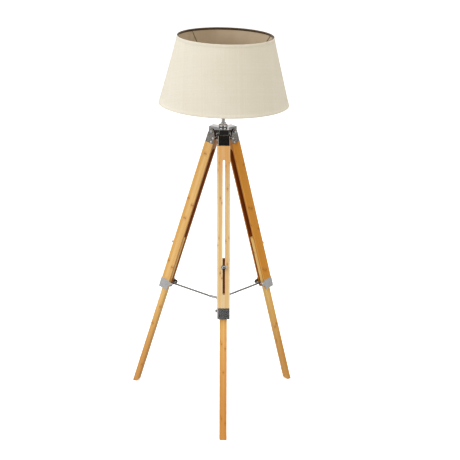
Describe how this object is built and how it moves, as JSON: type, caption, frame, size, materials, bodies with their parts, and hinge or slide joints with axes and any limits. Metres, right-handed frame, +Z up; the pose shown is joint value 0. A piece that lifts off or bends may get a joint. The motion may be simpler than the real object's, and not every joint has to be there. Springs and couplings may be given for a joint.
{
  "type": "tripod floor lamp",
  "caption": "Tripod floor lamp: tapered linen shade on a chrome neck over telescopic slotted bamboo legs that hinge under a folded steel bracket and are tied by a rod spreader.",
  "frame": {"origin": "on the floor, at the middle of the bounding box of the lamp; the lamp axis stands 60.4 mm behind it, towards +Y", "axes": "+Z up, -Y along the front leg towards the viewer, +X to the right"},
  "size_m": [0.6182, 0.5808, 1.3785],
  "materials": {
    "bamboo": "clear satin lacquer over laminated bamboo",
    "chrome": "polished chrome plate",
    "satin_steel": "nickel plated, lightly brushed",
    "steel": "zinc plated",
    "linen": "plain woven cream linen on a stiff backing",
    "shade_wire": "dull bronze paint",
    "black_plastic": "moulded, satin",
    "ceramic": "glazed white",
    "contact": "bare"
  },
  "bodies": {
    "head": {"head_bracket": "chrome", "socket_barrel": "chrome", "neck_collar": "chrome", "neck_tube": "chrome", "lock_nut": "steel", "cable_gland": "black_plastic", "lampholder_base": "black_plastic", "lampholder_shell": "black_plastic", "lampholder_insert": "ceramic", "centre_contact": "contact"},
    "neck_screw": {"neck_screw": "chrome"},
    "shade_ring": {"shade_ring": "black_plastic"},
    "shade": {"shade_fabric": "linen", "shade_carrier": "shade_wire", "shade_bottom_ring": "shade_wire"},
    "spreader_hub": {"spreader_hub": "chrome"},
    "front_upper": {"front_upper_leg": "bamboo", "front_top_cap": "chrome", "front_cap_rivet_lower": "chrome", "front_cap_rivet_upper": "chrome", "front_pivot_bolt": "chrome", "front_pivot_nut": "chrome", "front_clamp_band": "satin_steel", "front_clamp_bolt": "satin_steel", "front_clamp_nut": "satin_steel"},
    "front_lower": {"front_lower_leg": "bamboo", "front_slide_bolt": "steel", "front_slide_washer": "chrome"},
    "front_wing": {"front_wing_nut": "chrome"},
    "front_rod": {"front_spreader_rod": "chrome"},
    "left_upper": {"left_upper_leg": "bamboo", "left_top_cap": "chrome", "left_cap_rivet_lower": "chrome", "left_cap_rivet_upper": "chrome", "left_pivot_bolt": "chrome", "left_pivot_nut": "chrome", "left_clamp_band": "satin_steel", "left_clamp_bolt": "satin_steel", "left_clamp_nut": "satin_steel"},
    "left_lower": {"left_lower_leg": "bamboo", "left_slide_bolt": "steel", "left_slide_washer": "chrome"},
    "left_wing": {"left_wing_nut": "chrome"},
    "left_rod": {"left_spreader_rod": "chrome"},
    "right_upper": {"right_upper_leg": "bamboo", "right_top_cap": "chrome", "right_cap_rivet_lower": "chrome", "right_cap_rivet_upper": "chrome", "right_pivot_bolt": "chrome", "right_pivot_nut": "chrome", "right_clamp_band": "satin_steel", "right_clamp_bolt": "satin_steel", "right_clamp_nut": "satin_steel"},
    "right_lower": {"right_lower_leg": "bamboo", "right_slide_bolt": "steel", "right_slide_washer": "chrome"},
    "right_wing": {"right_wing_nut": "chrome"},
    "right_rod": {"right_spreader_rod": "chrome"}
  },
  "joints": [
    {"name": "front_fold", "type": "hinge", "parent": "head", "child": "front_upper", "pos_m": [0, 0.02439, 1.036], "axis": [1, 0, 0], "range_deg": [0, 12]},
    {"name": "front_extend", "type": "slide", "parent": "front_upper", "child": "front_lower", "axis": [0, -0.2888, -0.9574], "range_m": [-0.36, 0.09]},
    {"name": "front_wing_turn", "type": "hinge", "parent": "front_lower", "child": "front_wing", "pos_m": [0, -0.12473, 0.59101], "axis": [0, -0.9574, 0.2888], "continuous": true},
    {"name": "front_rod_swing", "type": "hinge", "parent": "front_upper", "child": "front_rod", "pos_m": [0, -0.12642, 0.42753], "axis": [-1, 0, 0], "range_deg": [0, 84.06]},
    {"name": "left_fold", "type": "hinge", "parent": "head", "child": "left_upper", "pos_m": [-0.03118, 0.07839, 1.036], "axis": [-0.5, -0.866, 0], "range_deg": [0, 12]},
    {"name": "left_extend", "type": "slide", "parent": "left_upper", "child": "left_lower", "axis": [-0.2501, 0.1444, -0.9574], "range_m": [-0.36, 0.09]},
    {"name": "left_wing_turn", "type": "hinge", "parent": "left_lower", "child": "left_wing", "pos_m": [-0.16032, 0.15295, 0.59101], "axis": [-0.8291, 0.4787, 0.2888], "continuous": true},
    {"name": "left_rod_swing", "type": "hinge", "parent": "left_upper", "child": "left_rod", "pos_m": [-0.16178, 0.15379, 0.42753], "axis": [0.5, 0.866, 0], "range_deg": [0, 84.06]},
    {"name": "right_fold", "type": "hinge", "parent": "head", "child": "right_upper", "pos_m": [0.03118, 0.07839, 1.036], "axis": [-0.5, 0.866, 0], "range_deg": [0, 12]},
    {"name": "right_extend", "type": "slide", "parent": "right_upper", "child": "right_lower", "axis": [0.2501, 0.1444, -0.9574], "range_m": [-0.36, 0.09]},
    {"name": "right_wing_turn", "type": "hinge", "parent": "right_lower", "child": "right_wing", "pos_m": [0.16032, 0.15295, 0.59101], "axis": [0.8291, 0.4787, 0.2888], "continuous": true},
    {"name": "right_rod_swing", "type": "hinge", "parent": "right_upper", "child": "right_rod", "pos_m": [0.16178, 0.15379, 0.42753], "axis": [0.5, -0.866, 0], "range_deg": [0, 84.06]},
    {"name": "hub_drop", "type": "slide", "parent": "head", "child": "spreader_hub", "axis": [0, 0, -1], "range_m": [0, 0.15183]},
    {"name": "shade_turn", "type": "hinge", "parent": "head", "child": "shade", "pos_m": [0, 0.06039, 1.17], "axis": [0, 0, 1], "continuous": true},
    {"name": "shade_ring_turn", "type": "hinge", "parent": "head", "child": "shade_ring", "pos_m": [0, 0.06039, 1.175], "axis": [0, 0, 1], "continuous": true},
    {"name": "neck_screw_turn", "type": "hinge", "parent": "head", "child": "neck_screw", "pos_m": [0, 0.06039, 1.0683], "axis": [1, 0, 0], "continuous": true}
  ],
  "couplings": [
    {"joint": "front_rod_swing", "follows": "front_fold", "ratio": 7.0007},
    {"joint": "left_fold", "follows": "front_fold", "ratio": 1},
    {"joint": "left_rod_swing", "follows": "front_fold", "ratio": 7.0007},
    {"joint": "right_fold", "follows": "front_fold", "ratio": 1},
    {"joint": "right_rod_swing", "follows": "front_fold", "ratio": 7.0007},
    {"joint": "hub_drop", "follows": "front_fold", "m_per_rad": 0.72396}
  ]
}
